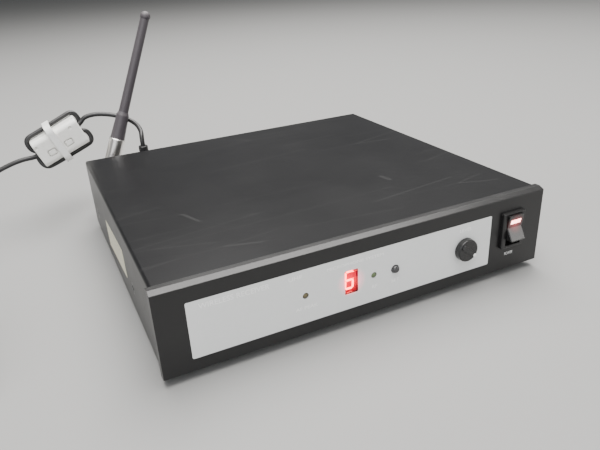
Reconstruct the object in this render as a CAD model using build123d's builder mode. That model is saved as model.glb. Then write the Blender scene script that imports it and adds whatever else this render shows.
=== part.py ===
from build123d import *
import math
import os

# A half-rack wireless microphone receiver with its rear whip antenna and DC lead.
# The origin is under the middle of the receiver, on the surface that its feet stand on.
# +X is to the right seen from the front, +Y is to the rear and +Z is up. Millimetres.

os.makedirs("parts", exist_ok=True)

# Case
panel_width = 210.0
panel_height = 44.0
panel_thickness = 6.0
bevel_height = 1.2
bevel_depth = 3.0
cover_width = 207.6
cover_depth = 192.6
rear_recess = 2.0
sheet = 1.2
foot_height = 3.4
panel_clearance = 3.0
gap = 0.1

# Front controls, placed from the panel's lower left corner
legend_size = (162.0, 28.0)
legend_centre = (94.5, 21.5)
window_size = (7.2, 12.6)
window_centre = (92.1, 21.9)
af_lamp = (68.1, 21.9)
rf_lamp = (104.4, 21.9)
button_centre = (116.4, 21.8)
knob_centre = (158.7, 21.3)
knob_height = 4.4
pointer_angle = 129.0
rocker_centre = (189.6, 25.0)
rocker_reach = 6.3
rocker_tilt = 12.0

# Rear connectors, placed from the same corner as seen from the front
antenna_socket = (15.5, 22.0)
power_socket = (41.5, 22.0)
phone_socket = (112.0, 22.0)
xlr_socket = (152.0, 22.0)
antenna_plane = 213.0
antenna_lean = 22.4
sleeve_radius = 5.3
hub_reach = 7.2

# Cord
cord_diameter = 3.2
coil_centre = (-196.0, 61.0)
coil_radius = 17.2
coil_columns = 3
coil_layers = 4
turn_pitch = 3.25

# Screws
m3_shank = 1.45
m3_head = 2.8
m3_head_height = 1.8

# The receiver runs from the rocker's lip to the back of the antenna elbow, centred on Y = 0.
face_y = rocker_reach - (rocker_reach + antenna_plane + hub_reach) / 2
panel_top = panel_clearance + panel_height
inner_half = cover_width / 2 - sheet
rear_face = cover_depth - rear_recess


def behind(depth):
    """Y of a point this far behind the front face."""
    return face_y + depth


def spot(place, dx=0.0, dz=0.0):
    """X and Z of a place that is given from the panel's lower left corner."""
    return (place[0] + dx - panel_width / 2, place[1] + dz + panel_clearance)


def upright(depth):
    """A plane parallel to the front face: local x is X, local y is Z, normal to the front."""
    return Plane(origin=(0, behind(depth), 0), x_dir=(1, 0, 0), z_dir=(0, -1, 0))


def keep(piece, name):
    """Label a finished piece and write it to its own STEP file."""
    piece.part.label = name
    export_step(piece.part, f"parts/{name}.step")


def disc(place, radius, start, end, mode=Mode.ADD):
    """A round bar or hole along Y, from one depth behind the face to another."""
    with BuildSketch(upright(start)) as outline:
        with Locations(spot(place)):
            Circle(radius)
    extrude(outline.sketch, amount=start - end, mode=mode)


def block(place, size, start, end, mode=Mode.ADD, corner=0.0):
    """A rectangular bar or pocket along Y, from one depth behind the face to another."""
    with BuildSketch(upright(start)) as outline:
        with Locations(spot(place)):
            if corner:
                RectangleRounded(size[0], size[1], corner)
            else:
                Rectangle(size[0], size[1])
    extrude(outline.sketch, amount=start - end, mode=mode)


# ---------------------------------------------------------------- case

lip_screw_z = 5.5
front_screws = [(12.0, lip_screw_z), (48.0, lip_screw_z), (174.5, lip_screw_z), (203.0, lip_screw_z)]
rear_screws = [(30.0, lip_screw_z), (95.0, lip_screw_z), (180.0, lip_screw_z)]
xlr_screws = [(xlr_socket[0] - 9.5, xlr_socket[1] + 12.0), (xlr_socket[0] + 9.5, xlr_socket[1] - 12.0)]
display_pocket = ((115.0, 22.0), (106.0, 34.0))
display_wall = 2.8
switch_wall = 2.5
lamp_radius = 1.5
shaft_radius = 3.0

with BuildPart() as front_panel:
    with BuildSketch(Plane.YZ.offset(-panel_width / 2)):
        with BuildLine():
            Polyline(
                (behind(0), panel_clearance + bevel_height),
                (behind(bevel_depth), panel_clearance),
                (behind(panel_thickness), panel_clearance),
                (behind(panel_thickness), panel_top),
                (behind(bevel_depth), panel_top),
                (behind(0), panel_top - bevel_height),
                close=True,
            )
        make_face()
    extrude(amount=panel_width)
    fillet(front_panel.edges().filter_by(Axis.X).group_by(Axis.Y)[0], radius=0.5)
    block(display_pocket[0], display_pocket[1], display_wall, panel_thickness, Mode.SUBTRACT, 2.0)
    block(rocker_centre, (16.4, 23.0), switch_wall, panel_thickness, Mode.SUBTRACT, 1.0)
    block(legend_centre, (legend_size[0] + 0.2, legend_size[1] + 0.2), 0, 0.35, Mode.SUBTRACT, 0.9)
    block(window_centre, window_size, 0, display_wall, Mode.SUBTRACT, 0.4)
    block(rocker_centre, (13.2, 19.2), 0, switch_wall, Mode.SUBTRACT)
    for lamp in (af_lamp, rf_lamp):
        disc(lamp, lamp_radius + 0.05, 0, display_wall, Mode.SUBTRACT)
    disc(button_centre, 2.25, 0, display_wall, Mode.SUBTRACT)
    disc(knob_centre, 3.5, 0, display_wall, Mode.SUBTRACT)
    for screw in front_screws:
        disc(screw, m3_shank + 0.05, panel_thickness, 2.0, Mode.SUBTRACT)
keep(front_panel, "front_panel")

legend_front = -0.05
with BuildPart() as legend_plate:
    block(legend_centre, legend_size, legend_front, 0.35, corner=0.8)
    block(window_centre, (window_size[0], window_size[1]), legend_front, 0.35, Mode.SUBTRACT, 0.4)
    for lamp in (af_lamp, rf_lamp):
        disc(lamp, lamp_radius + 0.05, legend_front, 0.35, Mode.SUBTRACT)
    disc(button_centre, 2.25, legend_front, 0.35, Mode.SUBTRACT)
    disc(knob_centre, 3.5, legend_front, 0.35, Mode.SUBTRACT)
keep(legend_plate, "legend_plate")

side_screw_places = [(57.0, 16.8), (172.0, 14.0)]
screw_cone_radius = 3.9
screw_cone_depth = 2.4
cone_middle = cover_width / 2 - screw_cone_depth / 2
cover_front = panel_thickness + gap
cover_bottom = foot_height
cover_top = panel_top - 0.1

with BuildPart() as top_cover:
    with BuildSketch(upright(cover_front)):
        with BuildLine():
            FilletPolyline(
                (-cover_width / 2, cover_bottom),
                (-cover_width / 2, cover_top),
                (cover_width / 2, cover_top),
                (cover_width / 2, cover_bottom),
                radius=1.6,
            )
            Line((cover_width / 2, cover_bottom), (inner_half, cover_bottom))
            FilletPolyline(
                (inner_half, cover_bottom),
                (inner_half, cover_top - sheet),
                (-inner_half, cover_top - sheet),
                (-inner_half, cover_bottom),
                radius=0.4,
            )
            Line((-inner_half, cover_bottom), (-cover_width / 2, cover_bottom))
        make_face()
    extrude(amount=-(cover_depth - cover_front))
    for depth, height in side_screw_places:
        for side in (-1, 1):
            centre = (side * cone_middle, behind(depth), height + panel_clearance)
            with Locations(Location(centre, (0, 90 * side, 0))):
                Cone(2.0, screw_cone_radius + 0.1, screw_cone_depth, mode=Mode.SUBTRACT)
keep(top_cover, "top_cover")

floor_bottom = foot_height
floor_top = foot_height + sheet
flange_outer = inner_half - gap
flange_top = 27.0
lip_top = 13.4
front_lip = panel_thickness + gap
rear_lip_back = rear_face - sheet - gap

with BuildPart() as bottom_chassis:
    with BuildSketch(Plane.XY.offset(floor_bottom)):
        with Locations((0, (behind(front_lip) + behind(rear_face)) / 2)):
            Rectangle(2 * flange_outer, rear_face - front_lip)
    extrude(amount=sheet)
    for depth in (front_lip, rear_lip_back - sheet):
        with BuildSketch(upright(depth)):
            with Locations((0, (floor_bottom + lip_top) / 2)):
                Rectangle(2 * flange_outer - 8, lip_top - floor_bottom)
        extrude(amount=-sheet)
    for side in (-1, 1):
        with BuildSketch(Plane.YZ.offset(side * (flange_outer - sheet / 2))):
            with Locations(((behind(12) + behind(180)) / 2, (floor_bottom + flange_top) / 2)):
                RectangleRounded(168, flange_top - floor_bottom, 1.0)
        extrude(amount=sheet / 2, both=True)
    for screw in front_screws:
        disc(screw, m3_shank + 0.1, front_lip, front_lip + sheet, Mode.SUBTRACT)
    for screw in rear_screws + xlr_screws:
        disc(screw, m3_shank + 0.1, rear_lip_back - sheet, rear_lip_back, Mode.SUBTRACT)
    for depth, height in side_screw_places:
        for side in (-1, 1):
            centre = (side * cone_middle, behind(depth), height + panel_clearance)
            with Locations(Location(centre, (0, 90 * side, 0))):
                Cone(2.1, screw_cone_radius + 0.1, screw_cone_depth, mode=Mode.SUBTRACT)
            screw_place = (side * flange_outer, behind(depth), height + panel_clearance)
            with Locations(Location(screw_place, (0, 90, 0))):
                Cylinder(2.1, 4 * sheet, mode=Mode.SUBTRACT)
keep(bottom_chassis, "bottom_chassis")

with BuildPart() as rear_panel:
    with BuildSketch(upright(rear_face - sheet)):
        with Locations((0, (floor_top + cover_top - sheet) / 2)):
            RectangleRounded(2 * flange_outer, cover_top - sheet - floor_top - 2 * gap, 1.0)
    extrude(amount=-sheet)
    disc(antenna_socket, 4.85, rear_face - sheet, rear_face, Mode.SUBTRACT)
    disc(power_socket, 4.0, rear_face - sheet, rear_face, Mode.SUBTRACT)
    disc(phone_socket, 6.0, rear_face - sheet, rear_face, Mode.SUBTRACT)
    disc(xlr_socket, 11.6, rear_face - sheet, rear_face, Mode.SUBTRACT)
    for screw in rear_screws + xlr_screws:
        disc(screw, m3_shank + 0.1, rear_face - sheet, rear_face, Mode.SUBTRACT)
keep(rear_panel, "rear_panel")


def pan_screw(place, seat, tip):
    """An M3 pan-head screw along Y: its head stands on the seat and its shank ends at the tip."""
    way = math.copysign(1, seat - tip)
    disc(place, m3_head, seat, seat + way * m3_head_height)
    disc(place, m3_shank, seat, tip)
    slot_start = seat + way * m3_head_height
    for size in ((3.0, 0.8), (0.8, 3.0)):
        block(place, size, slot_start, slot_start - way * 1.0, Mode.SUBTRACT)


with BuildPart() as panel_screws:
    for screw in front_screws:
        pan_screw(screw, front_lip + sheet, 2.4)
    for screw in rear_screws:
        pan_screw(screw, rear_face, rear_face - 5.5)
    for screw in xlr_screws:
        pan_screw(screw, rear_face + 1.6, rear_face - 4.0)
keep(panel_screws, "panel_screws")

with BuildPart() as cover_screws:
    for depth, height in side_screw_places:
        for side in (-1, 1):
            level = height + panel_clearance
            head = (side * (cover_width / 2 - screw_cone_depth / 2), behind(depth), level)
            with Locations(Location(head, (0, 90 * side, 0))):
                Cone(1.9, screw_cone_radius, screw_cone_depth)
            with Locations(Location((side * (cover_width / 2 - 4.6), behind(depth), level), (0, 90, 0))):
                Cylinder(1.9, 5.0)
            with Locations((side * (cover_width / 2 - 0.5), behind(depth), level)):
                Box(1.0, 4.0, 0.9, mode=Mode.SUBTRACT)
                Box(1.0, 0.9, 4.0, mode=Mode.SUBTRACT)
keep(cover_screws, "cover_screws")

with BuildPart() as rubber_feet:
    with Locations(*[(x, behind(y), foot_height / 2) for x in (-88, 88) for y in (22, 172)]):
        Cone(5.6, 6.6, foot_height)
    fillet(rubber_feet.edges().group_by(Axis.Z)[0], radius=0.8)
keep(rubber_feet, "rubber_feet")

label_tilt = -4.6
with BuildPart() as side_label:
    with BuildSketch(Plane.YZ.offset(-cover_width / 2)):
        with Locations(Location((behind(102.0), 19.8 + panel_clearance), label_tilt)):
            RectangleRounded(56.0, 15.6, 0.8)
    extrude(amount=-0.15)
keep(side_label, "side_label")

# ---------------------------------------------------------------- front controls

board_front = 10.0
board_thickness = 1.6
board_back = board_front + board_thickness

with BuildPart() as display_window:
    block(window_centre, (window_size[0] - 0.1, window_size[1] - 0.1), 1.6, display_wall, corner=0.35)
keep(display_window, "display_window")

segment_front = display_wall + 0.1
module_front = segment_front + 0.25
with BuildPart() as digit_display:
    block(window_centre, (9.8, 13.0), module_front, board_front - gap)
keep(digit_display, "digit_display")

digit_width = 4.1
digit_height = 9.0
bar_width = 0.9
digit_slant = math.tan(math.radians(3))
half_bar = digit_height / 4 - 0.15


def slanted(x, z):
    """A point of the digit, leaned to the right with height, from the window's centre."""
    return spot(window_centre, x + 0.25 + z * digit_slant, z - 0.45)


def segment(x, z, length, upright_bar):
    """The six corners of one bar of the digit."""
    end, side = length / 2, bar_width / 2
    upper = [(-end, 0), (side - end, side), (end - side, side)]
    outline = upper + [(-x_out, -z_out) for x_out, z_out in upper]
    if upright_bar:
        outline = [(v, u) for u, v in outline]
    return [slanted(x + u, z + v) for u, v in outline]


level_bars = [(0, z, digit_width - 0.3, False) for z in (-digit_height / 2, 0, digit_height / 2)]
upright_bars = [
    (x, z, 2 * half_bar, True)
    for x in (-digit_width / 2, digit_width / 2)
    for z in (-digit_height / 4, digit_height / 4)
]
with BuildPart() as digit_segments:
    for bar in level_bars + upright_bars:
        with BuildSketch(upright(segment_front)):
            Polygon(*segment(*bar), align=None)
        extrude(amount=segment_front - module_front)
keep(digit_segments, "digit_segments")


def lamp(place):
    """A 3 mm lamp: domed tip, flange and two leads down to the board."""
    with BuildPart() as piece:
        disc(place, lamp_radius, -0.2, 3.4)
        fillet(piece.edges().group_by(Axis.Y)[0], radius=1.1)
        disc(place, lamp_radius + 0.4, 3.4, 4.4)
        for side in (-1.27, 1.27):
            block((place[0] + side, place[1]), (0.5, 0.5), 4.4, board_front - gap)
    return piece


af_led = lamp(af_lamp)
keep(af_led, "af_led")
rf_led = lamp(rf_lamp)
keep(rf_led, "rf_led")

with BuildPart() as channel_button:
    disc(button_centre, 1.95, -1.8, 3.2)
    fillet(channel_button.edges().group_by(Axis.Y)[0], radius=1.3)
    disc(button_centre, 3.2, 3.2, 4.2)
    disc(button_centre, 1.5, 4.2, 5.2)
keep(channel_button, "channel_button")

with BuildPart() as tact_plunger:
    disc(button_centre, 1.7, 5.2, 7.9)
keep(tact_plunger, "tact_plunger")

with BuildPart() as tact_switch:
    block(button_centre, (6.0, 6.0), 6.4, board_front - gap)
    disc(button_centre, 1.95, 6.4, 8.9, Mode.SUBTRACT)
keep(tact_switch, "tact_switch")

knob_radius = 6.2
knob_gap = 0.4
grip_height = 0.9
shaft_front = -3.0
with BuildPart() as level_knob:
    with BuildSketch(upright(-knob_gap)):
        with Locations(spot(knob_centre)):
            Circle(knob_radius)
    extrude(amount=knob_height - grip_height - knob_gap, taper=5)
    fillet(level_knob.edges().group_by(Axis.Y)[0], radius=0.7)
    with BuildSketch(upright(-(knob_height - grip_height) + 0.3)):
        with Locations(Location(spot(knob_centre), 90 - pointer_angle)):
            RectangleRounded(10.2, 2.9, 1.0)
    extrude(amount=grip_height + 0.3)
    fillet(level_knob.faces().sort_by(Axis.Y)[0].edges(), radius=0.3)
    disc(knob_centre, shaft_radius + 0.02, -knob_gap, shaft_front - 0.05, Mode.SUBTRACT)
keep(level_knob, "level_knob")

with BuildPart() as pot_shaft:
    disc(knob_centre, shaft_radius, shaft_front, 7.2)
keep(pot_shaft, "pot_shaft")

with BuildPart() as level_pot:
    block(knob_centre, (9.8, 10.9), 3.4, board_front - gap, corner=0.8)
    disc(knob_centre, 4.4, 2.9, 3.4)
    disc(knob_centre, shaft_radius + 0.25, 2.9, 7.6, Mode.SUBTRACT)
keep(level_pot, "level_pot")

bezel_size = (14.8, 20.4)
bezel_height = 2.1
opening_size = (10.2, 17.4)
opening_depth = 7.0
housing_depth = 14.0
pivot_depth = 2.12
rocker_width = 9.6
rocker_half = 6.64
rocker_front = 4.6
rocker_lip = 7.2
trunnion_radius = 1.2
pivot_x, pivot_z = spot(rocker_centre, 0, 0.9)
tilt = math.radians(rocker_tilt)

with BuildPart() as switch_housing:
    block(rocker_centre, bezel_size, -bezel_height, 0, corner=0.8)
    chamfer(switch_housing.edges().group_by(Axis.Y)[0], length=0.45)
    block(rocker_centre, (13.0, 19.0), 0, housing_depth)
    for side in (-1, 1):
        block((rocker_centre[0] + side * 6.9, rocker_centre[1]), (0.8, 7.0), switch_wall + 0.3, 8.0)
    block(rocker_centre, opening_size, -bezel_height, opening_depth, Mode.SUBTRACT)
    with Locations(Location((pivot_x, behind(pivot_depth), pivot_z), (0, 90, 0))):
        Cylinder(trunnion_radius + 0.06, 13.0, mode=Mode.SUBTRACT)
keep(switch_housing, "switch_housing")

with BuildPart() as switch_terminals:
    for offset in (-6.0, 0.0, 6.0):
        block((rocker_centre[0], rocker_centre[1] + offset), (4.8, 0.8), housing_depth, housing_depth + 8.0)
keep(switch_terminals, "switch_terminals")

# The rocker stands in its on position: its upper end is pressed in and its lower lip stands out.
rocker_plane = Plane(
    origin=(pivot_x + rocker_width / 2, behind(pivot_depth), pivot_z),
    x_dir=(0, -math.cos(tilt), math.sin(tilt)),
    z_dir=(-1, 0, 0),
)
lens_size = (6.6, 2.4)
lens_up = 3.1
face_slope = math.atan2(rocker_lip - rocker_front, rocker_half)
lens_front = rocker_front + lens_up * math.tan(face_slope)
lens_plane = Plane(
    origin=rocker_plane.from_local_coords((lens_front, lens_up, rocker_width / 2)),
    x_dir=(1, 0, 0),
    z_dir=(0, -math.cos(face_slope - tilt), -math.sin(face_slope - tilt)),
)


def on_upper_face(size, start, end, mode=Mode.ADD):
    """A bar square to the rocker's upper face, from one height above it to another."""
    with BuildSketch(lens_plane.offset(start)) as outline:
        Rectangle(*size)
    extrude(outline.sketch, amount=end - start, mode=mode)


with BuildPart() as power_rocker:
    with BuildSketch(rocker_plane):
        with BuildLine():
            Polyline(
                (rocker_front, 0),
                (rocker_lip, rocker_half),
                (-1.0, 7.0),
                (-1.0, -7.0),
                (rocker_lip - 0.1, -rocker_half - 0.7),
                close=True,
            )
        make_face()
    extrude(amount=rocker_width)
    lip_sides = power_rocker.faces().sort_by(Axis.Z)[0].edges().filter_by(Axis.X, reverse=True)
    fillet(lip_sides, radius=0.8)
    fillet(power_rocker.edges().filter_by(Axis.X).group_by(Axis.Y)[0], radius=0.5)
    with Locations(Location((pivot_x, behind(pivot_depth), pivot_z), (0, 90, 0))):
        Cylinder(trunnion_radius, rocker_width + 1.8)
    on_upper_face((lens_size[0] + 0.06, lens_size[1] + 0.06), 1.0, -1.0, Mode.SUBTRACT)
keep(power_rocker, "power_rocker")

with BuildPart() as rocker_lens:
    on_upper_face(lens_size, -0.05, -1.0)
keep(rocker_lens, "rocker_lens")

with BuildPart() as display_board:
    block((115.0, 22.0), (118.0, 32.0), board_front, board_back)
keep(display_board, "display_board")

with BuildPart() as display_board_spacers:
    for x in (59.0, 171.0):
        for z in (14.0, 34.0):
            disc((x, z), 2.5, panel_thickness, board_front)
            disc((x, z), 1.6, panel_thickness, board_front, Mode.SUBTRACT)
keep(display_board_spacers, "display_board_spacers")

# ---------------------------------------------------------------- main board

main_board_bottom = floor_top + 5.0
main_board_top = main_board_bottom + 1.6
board_left, board_right = -92.0, 64.0
main_front, main_back = 42.0, 158.0
standoff_places = [
    (x, behind(y)) for x in (board_left + 6, board_right - 6) for y in (main_front + 6, main_back - 6)
]
board_middle = ((board_left + board_right) / 2, behind((main_front + main_back) / 2))

with BuildPart() as main_board:
    with BuildSketch(Plane.XY.offset(main_board_bottom)):
        with Locations(board_middle):
            Rectangle(board_right - board_left, main_back - main_front)
        with Locations(*standoff_places):
            Circle(1.6, mode=Mode.SUBTRACT)
    extrude(amount=main_board_top - main_board_bottom)
keep(main_board, "main_board")

with BuildPart() as board_standoffs:
    with BuildSketch(Plane.XY.offset(floor_top)):
        with Locations(*standoff_places):
            RegularPolygon(3.2, 6)
        with Locations(*standoff_places):
            Circle(m3_shank + 0.1, mode=Mode.SUBTRACT)
    extrude(amount=main_board_bottom - floor_top)
keep(board_standoffs, "board_standoffs")

with BuildPart() as board_screws:
    with BuildSketch(Plane.XY.offset(main_board_top)):
        with Locations(*standoff_places):
            Circle(m3_head)
    extrude(amount=m3_head_height)
    with BuildSketch(Plane.XY.offset(main_board_top)):
        with Locations(*standoff_places):
            Circle(m3_shank)
    extrude(amount=-6.0)
    with BuildSketch(Plane.XY.offset(main_board_top + m3_head_height)):
        with Locations(*standoff_places):
            Rectangle(3.0, 0.8)
            Rectangle(0.8, 3.0)
    extrude(amount=-1.0, mode=Mode.SUBTRACT)
keep(board_screws, "board_screws")

shield_centre = (-56.0, behind(120.0))
shield_size = (52.0, 44.0)
shield_height = 11.0
shield_wall = 0.6
with BuildPart() as rf_shield:
    with BuildSketch(Plane.XY.offset(main_board_top)):
        with Locations(shield_centre):
            Rectangle(*shield_size)
            Rectangle(shield_size[0] - 2 * shield_wall, shield_size[1] - 2 * shield_wall, mode=Mode.SUBTRACT)
    extrude(amount=shield_height)
keep(rf_shield, "rf_shield")

with BuildPart() as rf_shield_lid:
    with BuildSketch(Plane.XY.offset(main_board_top + shield_height)):
        with Locations(shield_centre):
            Rectangle(*shield_size)
    extrude(amount=shield_wall)
keep(rf_shield_lid, "rf_shield_lid")

capacitor_places = [
    (20.0, 66.0, 5.0, 16.0),
    (34.0, 66.0, 5.0, 16.0),
    (6.0, 68.0, 4.0, 12.0),
    (-8.0, 66.0, 3.2, 11.0),
]
with BuildPart() as capacitors:
    for x, depth, radius, height in capacitor_places:
        with BuildSketch(Plane.XY.offset(main_board_top)):
            with Locations((x, behind(depth))):
                Circle(radius)
        extrude(amount=height)
    rims = capacitors.edges().filter_by(GeomType.CIRCLE)
    chamfer(rims.filter_by(lambda rim: rim.center().Z > main_board_top + 5), length=0.5)
keep(capacitors, "capacitors")

sink_x, sink_depth = 46.0, 96.0
sink_length = 26.0
sink_base = 3.0
with BuildPart() as heatsink:
    with BuildSketch(Plane.XY.offset(main_board_top)):
        with Locations((sink_x, behind(sink_depth))):
            Rectangle(sink_base, sink_length)
        for offset in range(-2, 3):
            with Locations((sink_x + 5.0, behind(sink_depth + offset * 6.0))):
                Rectangle(10.0, 1.6)
    extrude(amount=22.0)
keep(heatsink, "heatsink")

tab_x = sink_x - sink_base / 2 - 0.7
with BuildPart() as regulator:
    with Locations((tab_x - 2.1, behind(sink_depth), main_board_top + 8.5)):
        Box(3.2, 10.0, 9.0)
    with Locations((tab_x, behind(sink_depth), main_board_top + 12.0)):
        Box(1.2, 10.0, 16.0)
    for offset in (-2.54, 0, 2.54):
        with Locations((tab_x - 1.6, behind(sink_depth + offset), main_board_top + 2.0)):
            Box(0.6, 0.9, 4.0)
keep(regulator, "regulator")

chip_places = [
    (-20.0, 100.0, 12.0, 12.0),
    (8.0, 96.0, 10.0, 6.0),
    (8.0, 116.0, 10.0, 6.0),
    (-26.0, 74.0, 8.0, 6.0),
    (26.0, 132.0, 8.0, 8.0),
]
with BuildPart() as board_chips:
    for x, depth, width, length in chip_places:
        with BuildSketch(Plane.XY.offset(main_board_top)):
            with Locations((x, behind(depth))):
                Rectangle(width, length)
        extrude(amount=1.8)
keep(board_chips, "board_chips")

ribbon_width = 16.0
ribbon_thickness = 0.8
ribbon_start, ribbon_end = board_back + gap, main_front + 6.0
ribbon_level = 17.0
ribbon_low = main_board_top + gap
with BuildPart() as ribbon_cable:
    with BuildSketch(Plane.YZ.offset(-20.0)):
        with BuildLine():
            connector_end = behind(ribbon_start)
            Line((connector_end, ribbon_level + ribbon_thickness), (connector_end, ribbon_level))
            ThreePointArc(
                (behind(ribbon_start), ribbon_level),
                (behind((ribbon_start + ribbon_end) / 2 + 1), ribbon_level + 5.0),
                (behind(ribbon_end), ribbon_low),
            )
            Line((behind(ribbon_end), ribbon_low), (behind(ribbon_end + ribbon_thickness), ribbon_low))
            ThreePointArc(
                (behind(ribbon_end + ribbon_thickness), ribbon_low),
                (behind((ribbon_start + ribbon_end) / 2 + 1.5), ribbon_level + 5.0 + ribbon_thickness),
                (behind(ribbon_start), ribbon_level + ribbon_thickness),
            )
        make_face()
    extrude(amount=ribbon_width)
keep(ribbon_cable, "ribbon_cable")

# ---------------------------------------------------------------- rear connectors

nut_thickness = 2.2
with BuildPart() as bnc_jack:
    disc(antenna_socket, 6.4, 181.0, rear_face - sheet - gap)
    disc(antenna_socket, 4.75, rear_face - sheet - gap, 203.2)
    disc(antenna_socket, 4.1, 195.2, 203.2, Mode.SUBTRACT)
    disc(antenna_socket, 2.8, 195.2, 199.6)
    disc(antenna_socket, 0.95, 195.2, 199.6, Mode.SUBTRACT)
    pin_centre = spot(antenna_socket)
    for side in (-1, 1):
        with Locations(Location((pin_centre[0] + side * 5.0, behind(200.6), pin_centre[1]), (0, 90, 0))):
            Cylinder(1.0, 1.7)
keep(bnc_jack, "bnc_jack")

with BuildPart() as bnc_nut:
    with BuildSketch(upright(rear_face)):
        with Locations(spot(antenna_socket)):
            RegularPolygon(7.0, 6)
            Circle(4.85, mode=Mode.SUBTRACT)
    extrude(amount=-nut_thickness)
keep(bnc_nut, "bnc_nut")

ring_front, ring_step, ring_back = 193.8, 203.8, 206.1
ring_radius = 7.25
with BuildPart() as bnc_coupling:
    disc(antenna_socket, ring_radius, ring_front, ring_back)
    chamfer(bnc_coupling.edges().filter_by(GeomType.CIRCLE), length=0.4)
    disc(antenna_socket, 6.15, ring_front, ring_step, Mode.SUBTRACT)
    disc(antenna_socket, 4.2, ring_step, ring_back, Mode.SUBTRACT)
    with BuildSketch(upright(ring_front + 1.6)):
        with Locations(spot(antenna_socket)):
            with PolarLocations(ring_radius + 0.15, 24):
                Circle(0.5)
    extrude(amount=-(ring_back - ring_front - 3.2), mode=Mode.SUBTRACT)
keep(bnc_coupling, "bnc_coupling")

lean = math.radians(antenna_lean)
hub = (spot(antenna_socket)[0], behind(antenna_plane), spot(antenna_socket)[1])
along_whip = (math.sin(lean), 0, math.cos(lean))
whip_plane = Plane(origin=hub, x_dir=(math.cos(lean), 0, -math.sin(lean)), z_dir=along_whip)
whip_side = Plane(origin=hub, x_dir=(math.cos(lean), 0, -math.sin(lean)), z_dir=(0, -1, 0))
whip_axis = Axis(hub, along_whip)
sleeve_end = 30.7
core_start, core_end = 22.0, 108.0
core_radius = 1.0

with BuildPart() as antenna_elbow:
    disc(antenna_socket, 5.5, 206.4, antenna_plane + hub_reach)
    chamfer(antenna_elbow.edges().filter_by(GeomType.CIRCLE), length=0.6)
    disc(antenna_socket, 3.9, 196.0, 206.4)
    disc(antenna_socket, 3.35, 196.0, 205.4, Mode.SUBTRACT)
    disc(antenna_socket, 0.65, 196.6, 205.4)
    with BuildSketch(whip_side):
        Polygon(
            (0, 0),
            (sleeve_radius, 0),
            (sleeve_radius, sleeve_end - 0.4),
            (sleeve_radius - 0.4, sleeve_end),
            (0, sleeve_end),
            align=None,
        )
    revolve(axis=whip_axis)
    with BuildSketch(whip_plane.offset(core_start)):
        Circle(core_radius + 0.1)
    extrude(amount=sleeve_end - core_start, mode=Mode.SUBTRACT)
keep(antenna_elbow, "antenna_elbow")

base_end, whip_start, ball_centre = 47.6, 50.0, 115.7
base_radius, base_top_radius, whip_radius, tip_radius, ball_radius = 4.9, 4.2, 3.3, 2.9, 3.35
ball_low = ball_centre - math.sqrt(ball_radius**2 - tip_radius**2)
with BuildPart() as antenna_cover:
    with BuildSketch(whip_side):
        with BuildLine():
            Polyline(
                (0, ball_centre + ball_radius),
                (0, sleeve_end),
                (base_radius, sleeve_end),
                (base_top_radius, base_end),
                (whip_radius, whip_start),
                (tip_radius, ball_low),
            )
            ThreePointArc((tip_radius, ball_low), (ball_radius, ball_centre), (0, ball_centre + ball_radius))
        make_face()
    revolve(axis=whip_axis)
    with BuildSketch(whip_plane.offset(sleeve_end)):
        Circle(core_radius + 0.1)
    extrude(amount=core_end + 0.5 - sleeve_end, mode=Mode.SUBTRACT)
keep(antenna_cover, "antenna_cover")

with BuildPart() as antenna_core:
    with BuildSketch(whip_plane.offset(core_start)):
        Circle(core_radius)
    extrude(amount=core_end - core_start)
keep(antenna_core, "antenna_core")

with BuildPart() as dc_jack:
    block(power_socket, (9.0, 11.0), 176.3, rear_face - sheet - gap)
    disc(power_socket, 3.9, rear_face - sheet - gap, rear_face)
    disc(power_socket, 3.15, 180.0, rear_face, Mode.SUBTRACT)
    disc(power_socket, 1.0, 180.0, 189.0)
keep(dc_jack, "dc_jack")

with BuildPart() as phone_jack:
    block(phone_socket, (15.0, 16.0), 163.0, rear_face - sheet - gap, corner=0.8)
    disc(phone_socket, 5.9, rear_face - sheet - gap, 194.4)
    disc(phone_socket, 3.25, 165.5, 194.4, Mode.SUBTRACT)
keep(phone_jack, "phone_jack")

with BuildPart() as phone_jack_nut:
    with BuildSketch(upright(rear_face)):
        with Locations(spot(phone_socket)):
            RegularPolygon(8.6, 6)
            Circle(6.0, mode=Mode.SUBTRACT)
    extrude(amount=-nut_thickness)
keep(phone_jack_nut, "phone_jack_nut")

xlr_mouth = 9.6
insert_back = 176.0
with BuildPart() as xlr_shell:
    block(xlr_socket, (26.0, 31.0), rear_face, rear_face + 1.5, corner=2.0)
    disc(xlr_socket, 11.4, 171.0, rear_face)
    disc(xlr_socket, xlr_mouth, 171.0, rear_face + 1.5, Mode.SUBTRACT)
    for screw in xlr_screws:
        disc(screw, m3_shank + 0.1, rear_face, rear_face + 1.5, Mode.SUBTRACT)
keep(xlr_shell, "xlr_shell")

xlr_pin_places = [(xlr_socket[0] + x, xlr_socket[1] + z) for x, z in ((-5.2, 0.0), (5.2, 0.0), (0.0, -6.0))]
with BuildPart() as xlr_insert:
    disc(xlr_socket, xlr_mouth - 0.05, 171.0, insert_back)
    for pin in xlr_pin_places:
        disc(pin, 1.25, 171.0, insert_back, Mode.SUBTRACT)
keep(xlr_insert, "xlr_insert")

with BuildPart() as xlr_pins:
    for pin in xlr_pin_places:
        disc(pin, 1.2, 166.0, 189.0)
keep(xlr_pins, "xlr_pins")

# ---------------------------------------------------------------- DC plug, cord and ferrite

plug_back = 199.4
plug_top = 48.8
plug_x, plug_z = spot(power_socket)
with BuildPart() as dc_plug_barrel:
    disc(power_socket, 2.75, 181.2, 191.0)
    disc(power_socket, 1.2, 181.2, 189.6, Mode.SUBTRACT)
keep(dc_plug_barrel, "dc_plug_barrel")

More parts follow.
